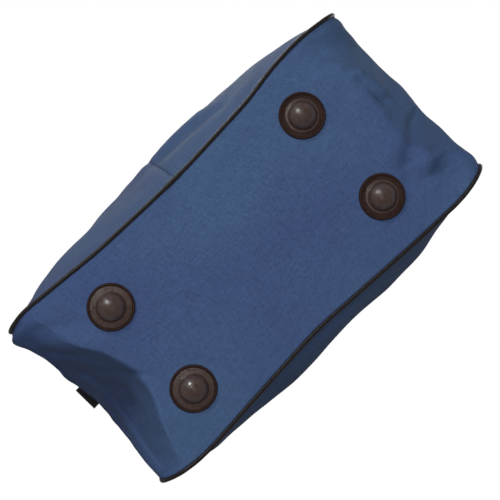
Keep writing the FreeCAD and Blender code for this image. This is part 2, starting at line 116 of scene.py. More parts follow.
# How the soft bag lies, as (x, y) along its bottom seams, and how far its front stands out, as (x, bulge)
FRONT_SEAM = [
    (-0.184, -0.0905), (-0.165, -0.0940), (-0.139, -0.0913), (-0.083, -0.0858), (-0.018, -0.0837),
    (0.014, -0.0836), (0.088, -0.0868), (0.117, -0.0915), (0.152, -0.0931), (0.193, -0.0880),
]
BACK_SEAM = [
    (-0.184, 0.0830), (-0.158, 0.0895), (-0.138, 0.0910), (-0.059, 0.0872), (-0.005, 0.0852),
    (0.063, 0.0903), (0.110, 0.0935), (0.159, 0.0958), (0.193, 0.0895),
]
BULGE = [
    (-0.184, 0.004), (-0.155, 0.016), (-0.102, 0.025), (-0.04, 0.032), (0.06, 0.032), (0.14, 0.024),
    (0.188, 0.006),
]
RIGHT_SPREAD = 0.012  # how far the right end has slumped outwards at the bottom

# How much of the way to the middle line each end's cloth has gone, as (place from front to back, share)
LEFT_PULL = [
    (-1, 0), (-0.72, 0.14), (-0.47, 0.36), (-0.23, 0.76), (0.05, 1.0), (0.29, 0.9), (0.51, 0.57),
    (0.8, 0.2), (1, 0),
]
RIGHT_PULL = [
    (-1, 0), (-0.88, 0.2), (-0.65, 0.85), (-0.2, 1.0), (0.12, 0.72), (0.28, 0.7), (0.5, 0.95),
    (0.75, 0.4), (0.9, 0.1), (1, 0),
]

# Folds under the bag in millimetres: start, end, width, height, and the other side's width if it differs
LEFT_FOLDS = [
    ((-166, -76), (-142, -60), 6, -2.6, 9),
    ((-160, -58), (-136, -32), 8, 2.0, 12),
    ((-174, -58), (-160, -38), 4, -2.2),
    ((-172, -34), (-152, 2), 3, 1.4, 5),
    ((-166, -24), (-150, 12), 3.5, -1.8),
    ((-171, -20), (-167, 1), 2, 1.8, 4),
    ((-171, 17), (-176, 74), 2.5, 2.6, 5),
    ((-153, -15), (-131, 10), 3, -1.8),
    ((-154, -30), (-155, -16), 2, 1.2),
]
RIGHT_FOLDS = [
    ((158, -54), (161, -16), 2.5, 2.2, 9),
    ((170, -40), (177, -12), 2, 4.2, 4),
    ((165, -32), (171, -6), 4, -3.8),
    ((158, -74), (150, -34), 8, -1.6),
    ((143, 44), (178, 22), 6, -4.8, 13),
    ((145, 47), (174, 57), 2.5, 3.4, 6),
    ((147, 62), (176, 74), 4, -4.4),
    ((152, 71), (178, 80), 3, 2.0),
]


# Curves


def unit(v):
    return v / np.linalg.norm(v, axis=-1, keepdims=True)


def stacked(*parts):
    """Places or UVs from their coordinates, which may be arrays of several shapes or numbers."""
    return np.stack(np.broadcast_arrays(*parts), axis=-1)


def eased(x, table, window=0.008):
    """A table of (place, value) read at x, with its corners rounded over a window."""
    places, values = zip(*table)
    offsets = np.linspace(-window, window, 9)
    return np.mean([np.interp(np.asarray(x) + o, places, values) for o in offsets], axis=0)


def rounded_path(corners):
    """Points (x, z) along straight runs joined by tangent arcs, and the index of each arc's middle.
    A corner is (x, z, radius); the first and last are the ends of the path."""
    points, middles = [np.array(corners[0][:2])], []
    for before, (x, z, radius), after in zip(corners, corners[1:], corners[2:]):
        corner = np.array([x, z])
        back, ahead = unit(np.array(before[:2]) - corner), unit(np.array(after[:2]) - corner)
        half = math.acos(float(np.clip(back @ ahead, -1, 1))) / 2
        reach = radius / math.tan(half)
        centre = corner + unit(back + ahead) * radius / math.sin(half)
        first, last = corner + back * reach - centre, corner + ahead * reach - centre
        turn = math.atan2(first[0] * last[1] - first[1] * last[0], first @ last)
        steps = 2 * max(3, round(abs(turn) * radius / ARC_STEP / 2))
        middles.append(len(points) + steps // 2)
        for angle in np.linspace(0, turn, steps + 1):
            c, s = math.cos(angle), math.sin(angle)
            points.append(centre + np.array([c * first[0] - s * first[1], s * first[0] + c * first[1]]))
    points.append(np.array(corners[-1][:2]))
    return np.array(points), middles


def distances(points):
    """How far along a line each of its points is."""
    return np.concatenate([[0], np.cumsum(np.linalg.norm(np.diff(points, axis=0), axis=1))])


def between(points, along, at):
    """The place that far along a line, between its points."""
    return np.array([np.interp(at, along, points[:, k]) for k in range(points.shape[1])])


def resampled(points, count):
    """The same line in count equal steps."""
    along = distances(points)
    return between(points, along, np.linspace(0, along[-1], count + 1)).T


def stretches(points, cuts, counts):
    """One line resampled stretch by stretch, so that two lines keep step with each other."""
    cuts = [0, *cuts, len(points) - 1]
    parts = [resampled(points[a : b + 1], n) for a, b, n in zip(cuts, cuts[1:], counts)]
    return np.concatenate([parts[0][:1], *[part[1:] for part in parts]])


def nearest(points, x, z=None):
    gap = np.abs(points[:, 0] - x) if z is None else np.hypot(points[:, 0] - x, points[:, 1] - z)
    return int(np.argmin(gap))


# The seams


def level_of(z):
    return np.clip((z - BASE) / (TOP - BASE), 0, 1)


def smooth(share):
    share = np.clip(share, 0, 1)
    return share * share * (3 - 2 * share)


def slumped(x, z):
    """Where the soft right end has moved to."""
    return x + RIGHT_SPREAD * smooth((x - 0.1) / (HALF_BOTTOM - 0.1)) * (1 - level_of(z)) ** 2


def seam_y(x, z, side):
    """Where the front (-1) or back (1) seam runs, beside a place in the side view."""
    level = level_of(z)
    bottom = eased(x, FRONT_SEAM if side < 0 else BACK_SEAM, 0.012)
    return bottom * (1 - level) + side * TOP_HALF_DEPTH * level


def seam_path(inset=0.0, mouth=MOUTH):
    """The seam in XZ from the left end of the mouth, round by the bottom, to its right end."""
    low, high = BASE + inset, TOP - inset
    half = [
        (mouth, high, 0),
        (HALF_TOP - inset, high, TOP_CORNER - inset),
        (HALF_BOTTOM - inset, low, BOTTOM_CORNER - inset),
    ]
    return rounded_path([(-x, z, radius) for x, z, radius in half] + half[::-1])


def middle_path():
    """The line that the cloth follows half-way between the two seams. It cuts the bottom corners."""
    high = TOP + CROWN
    corners = [
        (-MOUTH, high, 0),
        (-0.1685, high, 0.026),
        (-0.1845, BASE + 0.132, 0.040),
        (-0.133, BASE, 0.006),
        (0.158, BASE, 0.002),
        (0.190, BASE + 0.042, 0.014),
        (0.1685, high, 0.026),
        (MOUTH, high, 0),
    ]
    return rounded_path(corners)


# Meshes


def added(name, data, material=None):
    """A new object in the scene."""
    if material is not None:
        data.materials.append(material)
    thing = bpy.data.objects.new(name, data)
    bpy.context.scene.collection.objects.link(thing)
    return thing


def new_mesh(name, verts, faces):
    mesh = bpy.data.meshes.new(name)
    mesh.from_pydata(verts, [], faces)
    mesh.polygons.foreach_set("use_smooth", [True] * len(mesh.polygons))
    return mesh


def grid_mesh(name, points, uv, material, skip=None, closed=False):
    """A sheet of quads through a grid of points, with its UV map in metres."""
    n, m = points.shape[:2]
    index = np.arange(n * m).reshape(n, m).tolist()
    faces, places = [], []
    for i in range(n if closed else n - 1):
        near, far = index[i], index[(i + 1) % n]
        for j in range(m - 1):
            if skip is None or not skip[i, j]:
                faces.append((near[j], near[j + 1], far[j + 1], far[j]))
                places.append((i, j))
    used = np.unique(faces)
    mesh = new_mesh(name, points.reshape(-1, 3)[used].tolist(), np.searchsorted(used, faces).tolist())
    layer = mesh.uv_layers.new(name="weave")
    if closed:
        uv = np.concatenate([uv, uv[:1] + np.array([uv[-1, 0, 0] + uv[1, 0, 0] - 2 * uv[0, 0, 0], 0])])
    data = np.array([(uv[i, j], uv[i, j + 1], uv[i + 1, j + 1], uv[i + 1, j]) for i, j in places])
    layer.data.foreach_set("uv", data.ravel())
    mesh.validate()
    return added(name, mesh, material)


def apply_modifiers(piece):
    with bpy.context.temp_override(object=piece, active_object=piece, selected_objects=[piece]):
        for modifier in list(piece.modifiers):
            bpy.ops.object.modifier_apply(modifier=modifier.name)


def thicken(piece, thickness, lining=None):
    """Gives a sheet its thickness, inwards, with a second material on the inside."""
    solid = piece.modifiers.new("thickness", "SOLIDIFY")
    solid.thickness = thickness
    solid.offset = -1.0
    solid.use_even_offset = False
    if lining is not None:
        piece.data.materials.append(lining)
        solid.material_offset = 1
    apply_modifiers(piece)
    return piece


def normals(points):
    along, across = np.gradient(points, axis=0), np.gradient(points, axis=1)
    return unit(np.cross(along, across) + 1e-12)


# Soft shapes


def ridge(at, start, end, width, height, other_width=None):
    """How far a soft ridge, or a valley if height is negative, lifts each place of a plane.
    The second width is that of its left side, seen from start to end."""
    start, end = np.array(start), np.array(end)
    line = end - start
    share = np.clip(((at - start) @ line) / (line @ line), 0, 1)
    off = at - (start + share[..., None] * line)
    side = line[0] * off[..., 1] - line[1] * off[..., 0]
    widths = np.where(side > 0, other_width or width, width)
    return height * np.exp(-(off**2).sum(-1) / widths**2)


def unevenness(points, size, height, seed):
    """Gentle dents of that size all over."""
    flat = points.reshape(-1, 3)
    out = np.array([noise.noise(Vector(p / size) + Vector((seed, 0, 0))) for p in flat])
    return height * out.reshape(points.shape[:2])


# Materials


def new_material(name):
    material = bpy.data.materials.new(name)
    material.use_nodes = True
    tree = material.node_tree
    return material, tree, tree.nodes["Principled BSDF"]


def feed(tree, made, inputs):
    """Gives a node its inputs: each is linked, or set on its socket."""
    for key, value in inputs.items():
        if isinstance(value, bpy.types.NodeSocket):
            tree.links.new(value, made.inputs[key])
        else:
            made.inputs[key].default_value = value


def node(tree, kind, inputs=None, **settings):
    made = tree.nodes.new(kind)
    for key, value in settings.items():
        setattr(made, key, value)
    feed(tree, made, inputs or {})
    return made


def maths(tree, operation, *values, clamp=False):
    made = node(tree, "ShaderNodeMath", dict(enumerate(values)), operation=operation, use_clamp=clamp)
    return made.outputs[0]


def times(tree, a, b):
    return maths(tree, "MULTIPLY", a, b)


def plus(tree, a, b):
    return maths(tree, "ADD", a, b)


def mixed(tree, factor, a, b):
    """One colour over another."""
    return node(tree, "ShaderNodeMix", {0: factor, 6: a, 7: b}, data_type="RGBA").outputs[2]


def ranged(tree, value, start, end, low=0.0, high=1.0):
    """A value taken from one range to another."""
    return node(tree, "ShaderNodeMapRange", {0: value, 1: start, 2: end, 3: low, 4: high}).outputs[0]


def speckled(tree, place, scale, detail):
    return node(tree, "ShaderNodeTexNoise", {"Vector": place, "Scale": scale, "Detail": detail}).outputs[0]


def new_group(name, inputs, outputs):
    """An empty node group. Inputs are (name, socket type, default)."""
    group = bpy.data.node_groups.new(name, "ShaderNodeTree")
    for label, kind, default in inputs:
        socket = group.interface.new_socket(label, in_out="INPUT", socket_type=kind)
        if default is not None:
            socket.default_value = default
    for label in outputs:
        group.interface.new_socket(label, in_out="OUTPUT", socket_type="NodeSocketFloat")
    return group, group.nodes.new("NodeGroupInput"), group.nodes.new("NodeGroupOutput")


def make_weave_group():
    """Plain weave: yarns over and under each other in both directions, some thicker than others."""
    inputs = [("Place", "NodeSocketVector", None), ("Pitch", "NodeSocketFloat", 0.0005)]
    group, enter, leave = new_group("plain_weave", inputs, ["Height", "Slub"])
    split = node(group, "ShaderNodeSeparateXYZ", {0: enter.outputs["Place"]})
    waves = []
    for axis in (0, 1):
        turns = maths(group, "DIVIDE", split.outputs[axis], enter.outputs["Pitch"])
        waves.append(maths(group, "SINE", times(group, turns, math.pi)))
    height = maths(group, "ABSOLUTE", times(group, waves[0], waves[1]))
    slubs = []
    for stretch in ((60, 900, 0), (900, 60, 0)):
        drawn = {0: enter.outputs["Place"], 1: stretch}
        turned = node(group, "ShaderNodeVectorMath", drawn, operation="MULTIPLY").outputs[0]
        slubs.append(speckled(group, turned, 1.0, 1.0))
    slub = times(group, plus(group, *slubs), 0.5)
    feed(group, leave, {"Height": height, "Slub": slub})
    return group


def make_rib_group():
    """Webbing: rows of short slanted picks across the strap, thicker towards its edges."""
    inputs = [("Place", "NodeSocketVector", None), ("Rib", "NodeSocketFloat", 0.0011)]
    group, enter, leave = new_group("webbing_ribs", inputs, ["Height", "Edge"])
    split = node(group, "ShaderNodeSeparateXYZ", {0: enter.outputs["Place"]})
    along, across = split.outputs[0], split.outputs[1]
    column = maths(group, "DIVIDE", across, enter.outputs["Rib"])
    slant = maths(group, "PINGPONG", column, 1.0)
    rows = plus(group, maths(group, "DIVIDE", along, enter.outputs["Rib"]), slant)
    picks = maths(group, "ABSOLUTE", maths(group, "SINE", times(group, rows, math.pi)))
    cords = maths(group, "ABSOLUTE", maths(group, "SINE", times(group, column, math.pi)))
    height = times(group, maths(group, "POWER", picks, 0.6), maths(group, "POWER", cords, 0.5))
    edge = maths(group, "DIVIDE", maths(group, "ABSOLUTE", across), WEBBING_WIDTH / 2)
    feed(group, leave, {"Height": height, "Edge": maths(group, "POWER", edge, 12.0)})
    return group


def make_scuff_group():
    """Fine scratches and rubbed patches."""
    inputs = [("Place", "NodeSocketVector", None), ("Size", "NodeSocketFloat", 0.004)]
    group, enter, leave = new_group("scuffs", inputs, ["Scratches", "Patches"])
    scale = maths(group, "DIVIDE", 1.0, enter.outputs["Size"])
    place = {"Vector": enter.outputs["Place"], "Scale": scale}
    patches = node(group, "ShaderNodeTexNoise", {**place, "Detail": 5.0, "Roughness": 0.65})
    lines = node(group, "ShaderNodeTexNoise", {**place, "Detail": 3.0, "Distortion": 2.5})
    thin = maths(group, "ABSOLUTE", maths(group, "SUBTRACT", lines.outputs[0], 0.5))
    scratches = maths(group, "SUBTRACT", 1.0, times(group, thin, 45.0), clamp=True)
    feed(group, leave, {"Scratches": scratches, "Patches": patches.outputs[0]})
    return group


def bumped(tree, shader, height, distance):
    bump = node(tree, "ShaderNodeBump", {"Strength": 1.0, "Distance": distance, "Height": height})
    feed(tree, shader, {"Normal": bump.outputs[0]})


def shade(colour, times):
    return (*[c * times for c in colour[:3]], 1.0)


def cloth_material(name, colour, cool, pitch=0.0005, sheen=0.03):
    """Woven nylon: yarns, slubs, a slow drift between two dyes of the same blue, and painted shade in the
    hollows between the yarns.
    """
    material, tree, shader = new_material(name)
    place = node(tree, "ShaderNodeUVMap", uv_map="weave").outputs[0]
    weave = node(tree, "ShaderNodeGroup", {"Place": place, "Pitch": pitch}, node_tree=WEAVE)
    here = node(tree, "ShaderNodeTexCoord").outputs["Object"]
    drift, mottle = speckled(tree, here, 7.0, 2.0), speckled(tree, here, 420.0, 4.0)
    dye = mixed(tree, ranged(tree, drift, 0.35, 0.65), colour, cool)
    slub = ranged(tree, weave.outputs["Slub"], 0.3, 0.7)
    grain = plus(tree, times(tree, slub, 0.3), times(tree, mottle, 0.7))
    toned = ranged(tree, grain, 0.25, 0.75, 0.8, 1.2)
    # painted shade: the colour is darker where the weave dips between yarns and lighter on the yarns' tops
    painted_weave_shade = plus(tree, times(tree, weave.outputs["Height"], 0.3), 0.88)
    yarn = times(tree, painted_weave_shade, toned)
    tinted = node(tree, "ShaderNodeVectorMath", {0: dye, "Scale": yarn}, operation="SCALE")
    rough = ranged(tree, mottle, 0.3, 0.7, 0.62, 0.78)
    feed(tree, shader, {"Base Color": tinted.outputs[0], "Roughness": rough, "Specular IOR Level": 0.08})
    tint = (0.55, 0.68, 1.0, 1.0)
    feed(tree, shader, {"Sheen Weight": sheen, "Sheen Roughness": 0.4, "Sheen Tint": tint})
    height = plus(tree, weave.outputs["Height"], times(tree, slub, 0.8))
    bumped(tree, shader, height, 0.00012)
    return material


def webbing_material(name, colour):
    """Black webbing: painted shade between its picks and painted light on their tops, and paler towards its
    edges, where they wear.
    """
    material, tree, shader = new_material(name)
    place = node(tree, "ShaderNodeUVMap", uv_map="weave").outputs[0]
    rib = node(tree, "ShaderNodeGroup", {"Place": place, "Rib": RIB}, node_tree=RIBS)
    # painted shade and painted highlight: hollows between the picks are painted darker and their tops
    # lighter
    lit = ranged(tree, rib.outputs["Height"], 0.0, 1.0, 0.25, 1.0)
    tone = mixed(tree, lit, shade(colour, 0.35), shade(colour, 1.25))
    wear_and_painted_shade = mixed(tree, times(tree, rib.outputs["Edge"], 0.5), tone, shade(colour, 2.2))
    feed(tree, shader, {"Base Color": wear_and_painted_shade, "Roughness": 0.6, "Sheen Weight": 0.15})
    bumped(tree, shader, rib.outputs["Height"], 0.0004)
    return material


def moulded_material(name, colour, roughness, size, metallic=0.0, coat=0.0, gloss=0.5):
    """Plastic, vinyl or lacquer: a faint grain, rubbed patches and a few fine scratches."""
    material, tree, shader = new_material(name)
    here = node(tree, "ShaderNodeTexCoord").outputs["Object"]
    scuff = node(tree, "ShaderNodeGroup", {"Place": here, "Size": size}, node_tree=SCUFFS)
    patchy = 0.35
    patch = ranged(tree, scuff.outputs["Patches"], 0.35, 0.7)
    rubbed = mixed(tree, patch, shade(colour, 1 - patchy / 2), shade(colour, 1 + patchy))
    scratch = times(tree, scuff.outputs["Scratches"], 0.12)
    scratched = mixed(tree, scratch, rubbed, shade(colour, 3.0))
    spread = ranged(tree, patch, 0.0, 1.0, roughness * 0.85, roughness * 1.25)
    feed(tree, shader, {"Base Color": scratched, "Roughness": spread, "Metallic": metallic})
    feed(tree, shader, {"Coat Weight": coat, "Specular IOR Level": gloss})
    grain = speckled(tree, here, 2500.0, 2.0)
    height = maths(tree, "SUBTRACT", plus(tree, grain, patch), scuff.outputs["Scratches"])
    bumped(tree, shader, height, 0.00003)
    return material


def floor_material():
    """Pale from above. Seen from below it is clear, and light passes through it."""
    material, tree, shader = new_material("studio floor")
    here = node(tree, "ShaderNodeTexCoord").outputs["Object"]
    tone = mixed(tree, speckled(tree, here, 12.0, 3.0), (0.80, 0.80, 0.79, 1.0), (0.86, 0.86, 0.855, 1.0))
    feed(tree, shader, {"Base Color": tone, "Roughness": 0.8})
    clear = node(tree, "ShaderNodeBsdfTransparent")
    path = node(tree, "ShaderNodeLightPath").outputs["Is Camera Ray"]
    front = maths(tree, "SUBTRACT", 1.0, node(tree, "ShaderNodeNewGeometry").outputs["Backfacing"])
    shown = times(tree, path, front)
    mix = node(tree, "ShaderNodeMixShader", {0: shown, 1: clear.outputs[0], 2: shader.outputs[0]})
    tree.links.new(mix.outputs[0], tree.nodes["Material Output"].inputs["Surface"])
    return material


WEAVE, RIBS, SCUFFS = make_weave_group(), make_rib_group(), make_scuff_group()
BLUE, TEAL = (0.0395, 0.063, 0.145, 1.0), (0.045, 0.080, 0.158, 1.0)
GREY, COOL_GREY = (0.05, 0.052, 0.058, 1.0), (0.06, 0.062, 0.066, 1.0)
TAPE_BLACK, TAPE_BLUE = (0.010, 0.012, 0.022, 1.0), (0.014, 0.016, 0.026, 1.0)
BLACK, SOFT_BLACK = (0.012, 0.012, 0.014, 1.0), (0.02, 0.02, 0.022, 1.0)
BROWN, DARK_BROWN = (0.040, 0.025, 0.021, 1.0), (0.024, 0.014, 0.012, 1.0)
BROWN_BLACK, TEETH_BLACK = (0.012, 0.009, 0.009, 1.0), (0.010, 0.010, 0.012, 1.0)
BOARD_BLACK, STEEL, THREAD_BLUE = (0.05, 0.05, 0.055, 1.0), (0.55, 0.55, 0.56, 1.0), (0.02, 0.03, 0.07, 1.0)
nylon = cloth_material("blue nylon", BLUE, TEAL)
lining = cloth_material("grey lining", GREY, COOL_GREY, sheen=0.05)
vinyl = moulded_material("piping vinyl", BROWN_BLACK, 0.42, 0.006, gloss=0.22)
webbing = webbing_material("black webbing", BLACK)
tape_cloth = cloth_material("zip tape", TAPE_BLACK, TAPE_BLUE, pitch=0.0004, sheen=0.1)
foot_plastic = moulded_material("foot plastic", BROWN, 0.31, 0.003, gloss=0.9)
ring_plastic = moulded_material("foot ring plastic", DARK_BROWN, 0.7, 0.003, gloss=0.03)
teeth_plastic = moulded_material("zip teeth", TEETH_BLACK, 0.3, 0.002)
slider_lacquer = moulded_material("slider lacquer", SOFT_BLACK, 0.3, 0.002, metallic=0.6, coat=0.5)
board_plastic = moulded_material("base board", BOARD_BLACK, 0.6, 0.01)
screw_steel = moulded_material("screw steel", STEEL, 0.3, 0.002, metallic=1.0)
thread = moulded_material("thread", THREAD_BLUE, 0.7, 0.001)
black_thread = moulded_material("black thread", SOFT_BLACK, 0.7, 0.001)


# Bag cloth


def gusset_lines():
    """The seam's and the middle's points at the same stations, and how many stations the notch takes."""
    seam, corners = seam_path()
    middle, bends = middle_path()
    halfway = [nearest_on_run(middle, *bends[k : k + 2]) for k in (1, 3)]
    seam_cuts = cuts(seam, TOP, corners)
    middle_cuts = cuts(middle, TOP + CROWN, [bends[0], *halfway, bends[5]])
    counts = [9, 13, 84, 78, 78, 84, 13, 9]
    return stretches(seam, seam_cuts, counts), stretches(middle, middle_cuts, counts), counts[0]


def cuts(line, top, corners):
    """Where a line is cut: at both ends of the zip's notch, at four corners, and under the middle."""
    notch = [nearest(line, x, top) for x in (-ZIP_NOTCH_END, ZIP_NOTCH_END)]
    return [notch[0], *corners[:2], nearest(line, 0, BASE), *corners[2:], notch[1]]


def nearest_on_run(points, a, b):
    """The point in the middle of the straight run between two corners."""
    return nearest(points, *(points[a] + points[b]) / 2)


def bottom_folds(x, y):
    """How far the cloth under the bag stands out from its smooth shape, seen in plan."""
    at = stacked(x, y) * 1000
    return sum(ridge(at, *fold) for fold in LEFT_FOLDS + RIGHT_FOLDS) / 1000


def hump(at, middle, width):
    return np.exp(-(((at - middle) / width) ** 2))


def corner_ears(x, z, t):
    """How far the cloth beside the bottom corners stands out past the ends."""
    low = smooth(1.9 - 4 * level_of(z))
    left = 0.0056 * hump(t, -0.92, 0.11) * smooth((-x - 0.15) / 0.035)
    right = 0.0016 * (hump(t, -0.92, 0.07) + hump(t, 0.9, 0.08)) * smooth((x - 0.15) / 0.035)
    return (right - left) * low * smooth((1 - np.abs(t)) / 0.07)


def gusset_stations():
    """Places from the front seam (-1) to the back seam (1), with stations at the zip's notch."""
    notch_side = HALF_ZIP_GAP / (TOP_HALF_DEPTH - CLOTH_EDGE)
    side, gap = np.linspace(-1, -notch_side, 32), np.linspace(-notch_side, notch_side, 11)
    return np.concatenate([side, gap[1:-1], -side[::-1]]), notch_side


def gusset_slack(seam, middle, t):
    """The gusset's cloth before it has folds: it goes from the seams towards the middle line."""
    x, z = seam[:, None, 0], seam[:, None, 1]
    low = smooth(1.6 - 1.6 * ((z - BASE) / (TOP - BASE)))
    rightness = smooth((x + 0.1) / 0.2)
    left_pull, right_pull = eased(t, LEFT_PULL, 0.05), eased(t, RIGHT_PULL, 0.05)
    pull = left_pull[None, :] * (1 - rightness) + right_pull[None, :] * rightness
    share = low * pull + (1 - low) * (1 - t[None, :] ** 2)
    cloth_x = x + (middle - seam)[:, None, 0] * share
    cloth_z = z + (middle - seam)[:, None, 1] * share
    cloth_x = slumped(cloth_x, cloth_z) + corner_ears(cloth_x, cloth_z, t)
    x = slumped(x, z)
    front, back = seam_y(x, z, -1) + CLOTH_EDGE, seam_y(x, z, 1) - CLOTH_EDGE
    return stacked(cloth_x, front + (back - front) * (t[None, :] + 1) / 2, cloth_z), low


def folded(points, low, t):
    """The same cloth with its folds and dents, which end at the seams and don't go into the board."""
    out = -normals(points)
    under = np.clip(-out[..., 2] * 1.5 + 0.2, 0, 1)
    lift = bottom_folds(points[..., 0], points[..., 1]) * under
    slack = np.clip(1 - np.abs(t[None, :]) ** 6, 0, 1)
    away = np.clip((np.abs(points[..., 0]) - 0.11) / 0.05, 0.25, 1)
    coarse, fine = unevenness(points, *COARSE_DENTS), unevenness(points, *FINE_DENTS)
    lift += (coarse + fine * (0.64 + 0.36 * low)) * slack * away
    on_board = np.abs(points[..., 0]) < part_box("base_board")[1].x + 0.002
    lift = np.where(on_board & (level_of(points[..., 2]) < 0.01), np.maximum(lift, -0.0006), lift)
    return points + out * (lift * slack)[..., None]


def gusset_cloth():
    """The bottom and both ends: one length of cloth that hangs slack between the two piped seams."""
    seam, middle, notch = gusset_lines()
    t, notch_side = gusset_stations()
    points, low = gusset_slack(seam, middle, t)
    points = folded(points, low, t)
    along = distances(seam)
    skip = np.zeros(points.shape[:2], bool)
    inside = (np.abs(t) < notch_side - 1e-6) | np.isclose(t, -notch_side)
    skip[:notch, inside] = True
    skip[-notch - 1 :, inside] = True
    piece = grid_mesh("gusset_cloth", points, stacked(along[:, None], points[..., 1]), nylon, skip)
    thicken(piece, CLOTH, lining=lining)
    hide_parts("gusset")
    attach(piece, "bag")


def panel_y(x, z, side, held):
    """The outer face of a panel: full in the middle, and pulled in where its seams hold it."""
    full = 1 - np.abs(2 * level_of(z) - 1) ** 2
    return seam_y(x, z, side) + side * eased(x, BULGE, 0.03) * full * (1 - held)


def panel_outline(across, up):
    """The four sides of the panel's rounded outline, with that many steps across and up."""
    path, corners = seam_path(CLOTH_EDGE, mouth=0.0)
    top_left, low_left, low_right, top_right = corners
    top = np.concatenate([path[top_right:], path[: top_left + 1]])
    return (
        resampled(path[low_left : low_right + 1], across),
        resampled(path[low_right : top_right + 1], up),
        resampled(top, across)[::-1],
        resampled(path[top_left : low_left + 1], up)[::-1],
    )


def coons(bottom, right, top, left):
    """A grid that fills four curves."""
    n, m = len(bottom), len(right)
    s, t = np.linspace(0, 1, n)[:, None, None], np.linspace(0, 1, m)[None, :, None]
    ruled = bottom[:, None] * (1 - t) + top[:, None] * t + left[None] * (1 - s) + right[None] * s
    corners = (bottom[0] * (1 - s) + bottom[-1] * s) * (1 - t) + (top[0] * (1 - s) + top[-1] * s) * t
    return ruled - corners


def panel_points(side):
    """Points of the front (-1) or back (1) panel, with its folds."""
    flat = coons(*panel_outline(PANEL_STEPS, 84))
    x, z = slumped(flat[..., 0], flat[..., 1]), flat[..., 1]
    s, t = np.linspace(-1, 1, x.shape[0])[:, None], np.linspace(-1, 1, x.shape[1])[None, :]
    points = stacked(x, panel_y(x, z, side, np.maximum(np.abs(s) ** 12, np.abs(t) ** 12)), z)
    slack = (1 - s**8) * (1 - t**8)
    at = stacked(x, z) * 1000
    lift = unevenness(points, 0.07, 0.004, 11 + 5 * side) + unevenness(points, 0.025, 0.0012, 17 + 5 * side)
    if side < 0:
        lift += 0.001 * ridge(at, (-8, 84), (58, 70), 10, 2.0, 6)
        lift += 0.001 * ridge(at, (10, 62), (70, 48), 9, -2.5)
        lift -= 0.0012 * hump(x, 0, 0.004)
    out = normals(points) * -side
    out = np.where((out[..., 1:2] * side) > 0, out, -out)
    points += out * (lift * slack)[..., None]
    return points, stacked(x, z)


def panel_cloth(name, side, first, last, replaced):
    """A panel, or the part of one between two of its steps across."""
    points, uv = panel_points(side)
    points, uv = points[first : last + 1], uv[first : last + 1]
    if side < 0:
        points, uv = points[::-1], uv[::-1]
    piece = grid_mesh(name, points, uv, nylon)
    thicken(piece, CLOTH, lining=lining)
    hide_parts(replaced)
    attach(piece, "bag")
    width = float(np.ptp(uv[..., 0]))
    rounded_off = 0.93
    area = float(distances(points[:, points.shape[1] // 2])[-1] * PANEL_HEIGHT * rounded_off)
    area = min(area, width * PANEL_HEIGHT)
    return piece


def make_cloth():
    gusset_cloth()
    half = PANEL_STEPS // 2
    return {
        "front_left": panel_cloth("front_panel_left_cloth", -1, 0, half, "front_panel_left"),
        "front_right": panel_cloth("front_panel_right_cloth", -1, half, PANEL_STEPS, "front_panel_right"),
        "back": panel_cloth("back_panel_cloth", 1, 0, PANEL_STEPS, "back_panel"),
    }


# Top and zip


def crown_z(y):
    return TOP + CROWN * (1 - (y / TOP_HALF_DEPTH) ** 2)


def fold_open(piece):
    """Bakes the piece's transform into its mesh; it stays as it lies, shut."""
    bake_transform(piece)


def beside_mouth(end, steps, y):
    """Places on the crown beside half of the mouth, from its middle to one end."""
    return stacked(np.linspace(0, end * (MOUTH - MOUTH_PLAY), steps)[:, None], y, crown_z(y))


def laid(name, points, turned, material):
    """A flat piece of cloth with its face up."""
    if turned < 0:
        points = points[::-1]
    return grid_mesh(name, points, points[..., :2], material)


def top_half(name, side, end):
    """Half of one top panel."""
    share, outer = np.linspace(0, 1, 34), TOP_HALF_DEPTH - HEM
    points = beside_mouth(end, 70, side * (outer - share * (outer - HALF_ZIP_GAP)))
    fade = np.sin(math.pi * share) ** 0.7 * (1 - np.abs(points[..., 0] / MOUTH) ** 6)
    points[..., 2] += unevenness(points, *TOP_DENTS) * fade
    points[..., 2] += 0.0006 * hump(share, 0.93, 0.05)
    return thicken(laid(name, points, side * end, nylon), CLOTH, lining=lining)


def tape_half(name, side, end):
    """The zip's tape under that half."""
    points = beside_mouth(end, 60, side * (TAPE_OUTER - np.linspace(0, 1, 9) * TAPE_WIDTH))
    points[..., 2] = points[..., 2] - CLOTH - 0.00005
    return thicken(laid(name, points, side * end, tape_cloth), TAPE)


def softened(name, node_name, width, keep=None):
    """A copy of a solid with its edges rounded. keep picks the separate bits by their x."""
    work = bmesh.new()
    work.from_mesh(nodes[node_name].data)
    work.transform(nodes[node_name].matrix_world)
    bmesh.ops.remove_doubles(work, verts=work.verts, dist=0.000002)
    bmesh.ops.dissolve_limit(work, angle_limit=0.02, verts=work.verts, edges=work.edges)
    if keep is not None:
        bits = [bit for bit in islands(work) if not keep(sum(v.co.x for v in bit) / len(bit))]
        bmesh.ops.delete(work, geom=[v for bit in bits for v in bit], context="VERTS")
    mesh = bpy.data.meshes.new(name)
    work.to_mesh(mesh)
    work.free()
    piece = added(name, mesh)
    bevel = piece.modifiers.new("bevel", "BEVEL")
    bevel.width = width
    bevel.segments = 2
    bevel.limit_method = "ANGLE"
    bevel.angle_limit = math.radians(35)
    apply_modifiers(piece)
    piece.data.polygons.foreach_set("use_smooth", [True] * len(piece.data.polygons))
    return piece


def islands(work):
    """The separate bits of a mesh, as lists of vertices."""
    left, found = set(work.verts), []
    while left:
        bit, queue = [], [left.pop()]
        while queue:
            v = queue.pop()
            bit.append(v)
            for edge in v.link_edges:
                other = edge.other_vert(v)
                if other in left:
                    left.remove(other)
                    queue.append(other)
        found.append(bit)
    return found


def finished(node_name, width, body, material):
    """A solid's copy with rounded edges, in place of the solid."""
    piece = softened(f"{node_name}_finished", node_name, width)
    piece.data.materials.append(material)
    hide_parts(node_name)
    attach(piece, body)
    return piece


